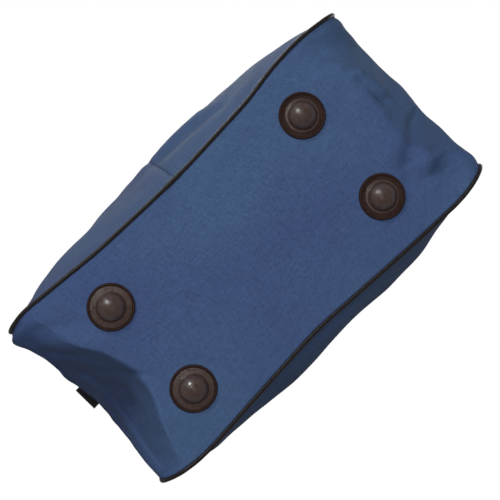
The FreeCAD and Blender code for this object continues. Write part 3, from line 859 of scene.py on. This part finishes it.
def flat_uv(piece):
    """A UV map in metres, seen from above."""
    layer = piece.data.uv_layers.new(name="weave")
    for loop in piece.data.loops:
        layer.data[loop.index].uv = piece.data.vertices[loop.vertex_index].co.xy


def make_top():
    for side, row in ((-1, "front"), (1, "back")):
        for end, half in ((-1, "left"), (1, "right")):
            cloth = top_half(f"{row}_top_{half}_cloth", side, end)
            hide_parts(f"{row}_top_panel")
            seam = hem_stitches(f"{row}_top_{half}_stitches", side, end)
            tape = tape_half(f"{row}_zip_{half}_tape", side, end)
            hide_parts(f"{row}_zip_tape")
            name = f"{row}_zip_{half}_teeth"
            chain = softened(name, f"{row}_zip_teeth", TOOTH_EDGE, lambda x: x * end > 0)
            chain.data.materials.append(teeth_plastic)
            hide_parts(f"{row}_zip_teeth")
            for piece in (cloth, seam, tape, chain):
                fold_open(piece)
    finished("zip_end_teeth", TOOTH_EDGE, "bag", teeth_plastic)
    finished("zip_top_stops", STOP_EDGE, "bag", teeth_plastic)
    finished("zip_bottom_stop", STOP_EDGE, "bag", teeth_plastic)
    finished("zip_slider", SLIDER_EDGE, "zip_slider", slider_lacquer)
    finished("zip_pull", PULL_EDGE, "zip_pull", slider_lacquer)
    flat_uv(finished("zip_tape_ends", TAPE_EDGE, "bag", tape_cloth))


# Stitches


def thread_template():
    """Rings of points round one short thread: places along it, to the side and up."""
    angles = [2 * math.pi * k / THREAD_SIDES for k in range(THREAD_SIDES)]
    rings = ((-0.5, 0.25), (-0.3, 0.9), (0, 1), (0.3, 0.9), (0.5, 0.25))
    return [(along, r * math.cos(a) / 2, r * math.sin(a) / 2) for along, r in rings for a in angles]


def thread_faces(start):
    """The faces between those rings, and the two ends."""
    sides = THREAD_SIDES
    faces = []
    for ring in range(4):
        for k in range(sides):
            first, second = start + ring * sides, start + ring * sides + sides
            faces.append((first + k, first + (k + 1) % sides, second + (k + 1) % sides, second + k))
    faces.append(tuple(start + k for k in range(sides - 1, -1, -1)))
    faces.append(tuple(start + 4 * sides + k for k in range(sides)))
    return faces


def stitch_rows(name, rows, length, gap, thickness, material):
    """Short threads end to end along lines of points. A row is (points, outward normals)."""
    template, verts, faces = thread_template(), [], []
    for points, out in rows:
        along = distances(points)
        count = max(1, int(along[-1] / (length + gap)))
        for at in (np.arange(count) + 0.5) * along[-1] / count:
            line = unit(between(points, along, at + 0.0005) - between(points, along, at - 0.0005))
            side = unit(np.cross(unit(between(out, along, at)), line))
            up = np.cross(line, side)
            middle = between(points, along, at)
            faces += thread_faces(len(verts))
            for a, b, c in template:
                verts.append(tuple(middle + line * a * length + side * b * thickness + up * c * thickness))
    piece = added(name, new_mesh(name, verts, faces), material)
    merge(piece)
    return piece


def hem_stitches(name, side, end):
    y = side * (HALF_ZIP_GAP + HEM)
    row = stacked(np.linspace(end * 0.0012, end * (MOUTH - 0.0012), 60), y, crown_z(y) + HEM_LIFT)
    up = np.tile([0.0, 0.0, 1.0], (60, 1))
    return stitch_rows(name, [(row, up)], *HEM_STITCH, thread)


# Webbing


def strap(name, frames, thickness):
    """Flat webbing with rounded edges. A frame is (middle of the strap, across, outward face)."""
    half, edge = WEBBING_WIDTH / 2, thickness / 2
    section = [(-half + edge + (WEBBING_WIDTH - 2 * edge) * k / 12, edge) for k in range(13)]
    section += [(half - edge + edge * math.sin(a), edge * math.cos(a)) for a in (0.8, 1.57, 2.34)]
    section += [(-across, -up) for across, up in section]
    section = np.array([*section, section[0]])
    middles, across, faces = (np.array([frame[k] for frame in frames], float) for k in range(3))
    points = middles[:, None] + across[:, None] * section[:, :1] + faces[:, None] * section[:, 1:]
    return swept(name, points, stacked(distances(middles)[:, None], section[:, 0]))


def swept(name, points, uv):
    """A strap's mesh, with its sides joined and its ends closed."""
    piece = grid_mesh(name, points, uv, webbing)
    merge(piece, distance=0.000005, close=True)
    return piece


HANDLE_Y = TOP_HALF_DEPTH + PIPING_RADIUS + HANDLE_PLAY + WEBBING
HANDLE_PIVOT = np.array([0, -HANDLE_Y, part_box("front_handle")[0].z + WEBBING / 2])


def handle_frames(side):
    """The handle stands on its two legs, turns a quarter over each, and bends across the top."""
    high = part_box("front_handle")[1]
    rise = high.z - HANDLE_PIVOT[2] - WEBBING / 2
    spacing = high.x * 2 - WEBBING_WIDTH
    leg, run = rise - HANDLE_BEND, spacing / 2 - HANDLE_BEND
    path = []
    for share in np.linspace(0, 1, 36, endpoint=False):
        bow = HANDLE_BOW * math.sin(math.pi * share) ** 2
        path.append((np.array([-spacing / 2 + bow, 0, leg * share]), np.array([0.0, 0, 1]), share))
    for turn in np.linspace(0, math.pi / 2, 28):
        arm = np.array([-math.cos(turn), 0, math.sin(turn)]) * HANDLE_BEND
        path.append((np.array([-run, 0, leg]) + arm, np.array([math.sin(turn), 0, math.cos(turn)]), 1.0))
    path += [(p * [-1, 1, 1], t * [1, 1, -1], share) for p, t, share in reversed(path)]
    frames = []
    for point, tangent, share in path:
        turn = math.pi / 2 * share**2 * (3 - 2 * share)
        level = np.array([tangent[2], 0, -tangent[0]])
        across = level * math.cos(turn) + np.array([0, 1, 0]) * math.sin(turn)
        face = np.cross(tangent, across)
        flip = np.array([1, -side, 1])
        frames.append(((HANDLE_PIVOT + point) * flip, across * flip, face * flip))
    return frames


def handle_root(name, side, x):
    """The rolled foot of a handle's leg, about which it tips."""
    y, z, radius = -side * HANDLE_PIVOT[1], HANDLE_PIVOT[2], WEBBING / 2
    around = np.linspace(0, 2 * math.pi, 17)[None, :]
    across = np.linspace(-WEBBING_WIDTH / 2, WEBBING_WIDTH / 2, 9)[:, None]
    points = stacked(x + across, y + radius * np.cos(around), z + radius * np.sin(around))
    return swept(name, points, stacked(around * radius, across))


def cloth_face(piece):
    """A way to ask where the outside of a cloth wall is, at a place in the side view."""
    mesh = piece.data
    tree = BVHTree.FromPolygons([v.co for v in mesh.vertices], [face.vertices for face in mesh.polygons])

    def ask(x, z, side):
        hit = tree.ray_cast(Vector((x, side * 0.3, z)), Vector((0, -side, 0)))[0]
        return None if hit is None else hit.y

    return ask


def boxed_cross(half, start, end):
    """Lines of stitches as (across, share of the way down): a box, and the cross inside it."""
    corners = [(-half, start), (half, start), (half, end), (-half, end)]
    box = list(zip(corners, corners[1:] + corners[:1]))
    return box + [(corners[0], corners[2]), (corners[1], corners[3])]


def anchor(name, side, x, ask):
    """Webbing sewn flat to a panel under one leg of a handle, with a boxed cross of stitches."""
    clear = TOP_HALF_DEPTH + PIPING_RADIUS
    high = HANDLE_PIVOT[2] - WEBBING / 2 - ANCHOR_PLAY
    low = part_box("front_handle_anchors")[0].z

    def face(z, dx=0.0):
        y = ask(x + dx, z, side)
        return side * max(clear, abs(y) if y is not None else 0.0)

    heights = np.linspace(high, low, ANCHOR_STEPS)
    faces = np.array([max(abs(face(z, dx)) for dx in (-0.009, 0, 0.009)) for z in heights])
    faces = np.array([faces[max(0, i - 1) : i + 2].max() for i in range(ANCHOR_STEPS)])
    middles = stacked(x, side * (faces + WEBBING / 2), heights)
    tangent = unit(np.gradient(middles, axis=0))
    out = unit(np.cross(tangent, np.array([1.0, 0, 0])))
    out *= np.sign(out[:, 1:2]) * side
    frames = [(m, (side, 0, 0), o) for m, o in zip(middles, out)]
    strapping = strap(name, frames, WEBBING)

    def at(dx, share):
        i = share * (ANCHOR_STEPS - 1)
        k = min(int(i), ANCHOR_STEPS - 2)
        place = middles[k] * (1 - i + k) + middles[k + 1] * (i - k)
        return place + np.array([dx, 0, 0]) + out[k] * (WEBBING / 2 + STITCH_LIFT), out[k]

    rows = []
    bars = [((-BOX_HALF, share), (BOX_HALF, share)) for share in (0.22, 0.25)]
    for a, b in boxed_cross(BOX_HALF, BOX_TOP, BOX_END) + bars:
        line = [at(a[0] + (b[0] - a[0]) * q, a[1] + (b[1] - a[1]) * q) for q in np.linspace(0, 1, 12)]
        rows.append((np.array([p for p, _ in line]), np.array([o for _, o in line])))
    sewn = stitch_rows(f"{name}_stitches", rows, *BOX_STITCH, black_thread)
    y, reach = side * (clear + TONGUE_LIFT), (HANDLE_PIVOT[2] + ANCHOR_PLAY, high + 0.00001)
    tongue = [((x, y, z), (side, 0, 0), (0, side, 0)) for z in reach]
    return strapping, strap(f"{name}_turn", tongue, TONGUE), sewn


def tab_frames(side, radius, finish, corner):
    """One layer of an end tab: it lies round the top corner, then stands off it."""
    root, droop = math.radians(18), math.radians(30)
    frames = []
    for angle in np.linspace(root, droop, 8):
        radial = np.array([math.sin(angle), 0, math.cos(angle)])
        frames.append((corner + radial * radius, radial))
    start = frames[-1][0]
    run = (finish - start[0]) / math.cos(droop)
    for share in np.linspace(0, 1, 14)[1:]:
        sag = TAB_SAG * share**2
        place = start + np.array([math.cos(droop), 0, -math.sin(droop)]) * run * share - [0, 0, sag]
        frames.append((place, radial))
    flip = np.array([side, 1, 1])
    return [(m * flip, (0, 1, 0), f * flip) for m, f in frames]


def make_webbing(panels):
    for side, row in ((-1, "front"), (1, "back")):
        handle = strap(f"{row}_handle_webbing", handle_frames(side), WEBBING)
        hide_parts(f"{row}_handle")
        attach(handle, f"{row}_handle")
        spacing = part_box("front_handle")[1].x - WEBBING_WIDTH / 2
        for end, half in ((-1, "left"), (1, "right")):
            ask = cloth_face(panels[row if row == "back" else f"{row}_{half}"])
            strapping, turn, sewn = anchor(f"{row}_{half}_anchor", side, end * spacing, ask)
            root = handle_root(f"{row}_{half}_handle_root", side, end * spacing)
            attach(root, f"{row}_handle")
            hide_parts(f"{row}_handle_anchors")
            for piece in (strapping, turn, sewn):
                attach(piece, "bag")
    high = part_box("right_end_tab")[1]
    reach = TOP_CORNER + CROWN + 0.00005
    inwards = TOP_CORNER * math.tan((math.pi / 2 - TAB_TAPER) / 2)
    corner = np.array([HALF_TOP - inwards, 0, TOP - TOP_CORNER])
    for side, half in ((-1, "left"), (1, "right")):
        under = tab_frames(side, reach + TAB_LAYER / 2, high.x, corner)
        over = tab_frames(side, reach + TAB_LAYER * 1.5, high.x - TAB_STEP, corner)
        lower = strap(f"{half}_tab_lower", under, TAB_LAYER)
        upper = strap(f"{half}_tab_upper", over, TAB_LAYER)
        for piece in (lower, upper):
            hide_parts(f"{half}_end_tab")
            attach(piece, "bag")


# Piping


def tube(name, path, radius, closed=True):
    """A tube round a line of points, with its UV along and round it."""
    tangent = unit(np.roll(path, -1, axis=0) - np.roll(path, 1, axis=0))
    if not closed:
        tangent[[0, -1]] = tangent[[1, -2]]
    out = unit(np.cross(tangent, np.array([0.0, 1.0, 0.0])))
    other = np.cross(tangent, out)
    radius = np.broadcast_to(radius, len(path))
    angles = np.linspace(0, 2 * math.pi, TUBE_SIDES + 1)
    ring = out[:, None] * np.cos(angles)[None, :, None] + other[:, None] * np.sin(angles)[None, :, None]
    points = path[:, None] + ring * radius[:, None, None]
    uv = stacked(distances(path)[:, None], angles * PIPING_RADIUS)
    piece = grid_mesh(name, points, uv, vinyl, closed=closed)
    merge(piece)
    return piece


def merge(piece, distance=0.00001, close=False):
    """Joins points that lie together, and closes open ends if asked."""
    work = bmesh.new()
    work.from_mesh(piece.data)
    bmesh.ops.remove_doubles(work, verts=work.verts, dist=distance)
    if close:
        bmesh.ops.holes_fill(work, edges=[e for e in work.edges if e.is_boundary], sides=0)
    bmesh.ops.recalc_face_normals(work, faces=work.faces)
    work.to_mesh(piece.data)
    work.free()


def piping_path(side):
    path, _ = seam_path(0.0, mouth=0.0)
    line = resampled(path, 420)[:-1]
    x, z = slumped(line[:, 0], line[:, 1]), line[:, 1]
    return stacked(x, seam_y(x, z, side), z)


def make_piping():
    for side, name in ((-1, "front"), (1, "back")):
        path = piping_path(side)
        wobble = np.array([noise.noise(Vector(p * 160)) for p in path])
        piece = tube(f"{name}_piping_vinyl", path, 0.88 * PIPING_RADIUS * (1 + 0.06 * wobble))
        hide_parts(f"{name}_piping")
        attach(piece, "bag")
        if side < 0:
            make_joint(path)


def make_joint(path):
    """The short sleeve where the two ends of the front piping meet, under the centre seam."""
    low = path[(path[:, 2] < BASE + 0.001) & (path[:, 0] > -0.015) & (path[:, 0] < 0.010)]
    radius = np.full(len(low), 1.08 * PIPING_RADIUS)
    radius[[0, -1]] = 0.8 * PIPING_RADIUS
    piece = tube("front_piping_joint", low, radius, closed=False)
    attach(piece, "bag")


# Looks of the nodes that stay as they are


def dress(material, *names):
    for name in names:
        mesh = nodes[name].data
        mesh.materials.clear()
        mesh.materials.append(material)


def dress_solids():
    for corner in [f"{x}_{y}" for x in ("left", "right") for y in ("front", "back")]:
        for name, material in (("foot_base", ring_plastic), ("foot_dome", foot_plastic)):
            finished(f"{name}_{corner}", FOOT_EDGE, "bag", material)
    dress(board_plastic, "base_board")
    dress(screw_steel, "foot_screws", "foot_washers")


# Studio


def look_at(thing, target, up):
    """Turns a camera or lamp to a place, with that direction upwards in its picture."""
    back = (thing.location - target).normalized()
    right = up.cross(back).normalized()
    turn = Matrix((right, back.cross(right), back)).transposed()
    thing.rotation_euler = turn.to_euler()


def lamp(name, place, target, size, power, colour=(1, 1, 1)):
    data = bpy.data.lights.new(name, "AREA")
    data.shape = "DISK"
    data.size = size
    data.energy = power
    data.color = colour
    thing = added(name, data)
    thing.location = place
    look_at(thing, Vector(target), Vector((0.1, 0.2, 1)))
    return thing


def studio_world():
    """White to the camera. Gloss sees it white above and dim below, as in a room."""
    world = bpy.data.worlds.new("studio")
    world.use_nodes = True
    tree = world.node_tree
    soft = tree.nodes["Background"]
    feed(tree, soft, {0: (0.93, 0.96, 1.0, 1.0), 1: 0.12})
    direction = node(tree, "ShaderNodeTexCoord").outputs["Generated"]
    heading = node(tree, "ShaderNodeSeparateXYZ", {0: direction})
    gloss = ranged(tree, heading.outputs[2], -0.6, 0.1, 0.06, 0.35)
    path = node(tree, "ShaderNodeLightPath")
    straight = maths(tree, "MAXIMUM", path.outputs["Is Camera Ray"], path.outputs["Is Transmission Ray"])
    strength = maths(tree, "MAXIMUM", straight, gloss)
    white = node(tree, "ShaderNodeBackground", {0: (1, 1, 1, 1), 1: strength})
    seen = maths(tree, "MAXIMUM", straight, path.outputs["Is Glossy Ray"])
    mix = node(tree, "ShaderNodeMixShader", {0: seen, 1: soft.outputs[0], 2: white.outputs[0]})
    tree.links.new(mix.outputs[0], tree.nodes["World Output"].inputs["Surface"])
    return world


def make_studio():
    scene = bpy.context.scene
    scene.view_settings.view_transform = "Standard"
    bpy.ops.mesh.primitive_plane_add(size=6, location=(0, 0, 0))
    floor = bpy.context.object
    floor.name = "studio_floor"
    floor.data.materials.append(floor_material())
    scene.world = studio_world()
    middle = (0, 0, 0.05)
    lamp("key under the front", (0.05, -1.1, -0.85), middle, 0.28, 8.5, (0.92, 0.97, 1.0))
    soft = lamp("fill under the bag", (-0.02, -0.2, -1.4), middle, 1.0, 21)
    soft.visible_glossy = False
    lamp("key above", (0.5, -1.1, 1.5), (0, 0, 0.15), 0.9, 14, (1.0, 0.98, 0.95))
    lamp("fill above", (1.3, 0.6, 1.2), (0, 0, 0.15), 1.2, 10)


CAMERA_LEFT, CAMERA_FRONT, CAMERA_SLANT = (math.radians(angle) for angle in (5.0, 3.3, 45.2))
CAMERA_DISTANCE, CAMERA_LENS, SENSOR = 1.0075, 89.2, 36


def make_camera():
    """From below, tipped towards the front and the left end. The bag's length slants up to the right."""
    target = Vector((0.0018, 0.0004, BASE))
    away = Vector((-math.sin(CAMERA_LEFT), -math.sin(CAMERA_FRONT), 0))
    away.z = -math.sqrt(1 - away.x**2 - away.y**2)
    data = bpy.data.cameras.new("camera")
    data.sensor_width, data.lens = SENSOR, CAMERA_LENS
    thing = added("camera", data)
    thing.location = target + away * CAMERA_DISTANCE
    look_at(thing, target, Vector((math.sin(CAMERA_SLANT), -math.cos(CAMERA_SLANT), 0)))
    bpy.context.scene.camera = thing


panels = make_cloth()
make_piping()
make_top()
make_webbing(panels)
dress_solids()
make_studio()
make_camera()
